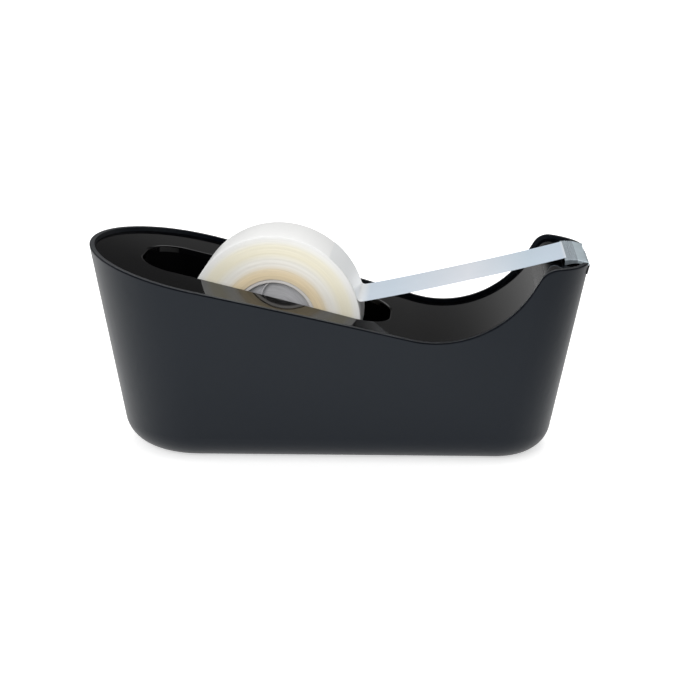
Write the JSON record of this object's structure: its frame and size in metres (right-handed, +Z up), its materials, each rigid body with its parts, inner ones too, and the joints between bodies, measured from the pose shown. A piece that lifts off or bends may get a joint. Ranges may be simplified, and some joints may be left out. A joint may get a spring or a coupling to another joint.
{
  "type": "desk tape dispenser",
  "caption": "Weighted egg-shaped desk tape dispenser with a sunken roll on a lift-out hub, a sloping deck, a finger valley and a serrated cutter on a raised beak.",
  "frame": {"origin": "middle of the overall box in plan, at the underside of the foot pad", "axes": "+X along the body from the tall rounded tail to the beak with the cutter, +Y across, +Z up"},
  "size_m": [0.1478, 0.0634, 0.0661],
  "materials": {
    "shell": "satin charcoal moulding",
    "deck": "high gloss black moulding",
    "well": "plain black moulding",
    "foot": "fine-grained non-slip sheet",
    "ballast": "as cast, painted",
    "foam": "closed-cell foam",
    "cutter": "stamped, satin",
    "screws": "zinc plated",
    "axle": "ground",
    "strip": "translucent film",
    "hub": "translucent light grey moulding",
    "core": "tan moulding",
    "tape": "wound translucent film"
  },
  "bodies": {
    "dispenser": {"body_shell": "shell", "deck_cover": "deck", "roll_well": "well", "foot_pad": "foot", "ballast_slab": "ballast", "ballast_block": "ballast", "slab_pad": "foam", "block_pad": "foam", "cutter_blade": "cutter", "tub_screws": "screws", "ballast_screws": "screws", "well_screws": "screws"},
    "axle_carrier": {"hub_axle": "axle", "tape_strip": "strip"},
    "roll": {"hub_near": "hub", "hub_far": "hub", "tape_core": "core", "tape_roll": "tape"}
  },
  "joints": [
    {"name": "refill_lift", "type": "slide", "parent": "dispenser", "child": "axle_carrier", "axis": [0, 0, 1], "range_m": [0, 0.06]},
    {"name": "roll_spin", "type": "hinge", "parent": "axle_carrier", "child": "roll", "pos_m": [-0.01814, 0, 0.0403], "axis": [0, 1, 0], "continuous": true}
  ]
}
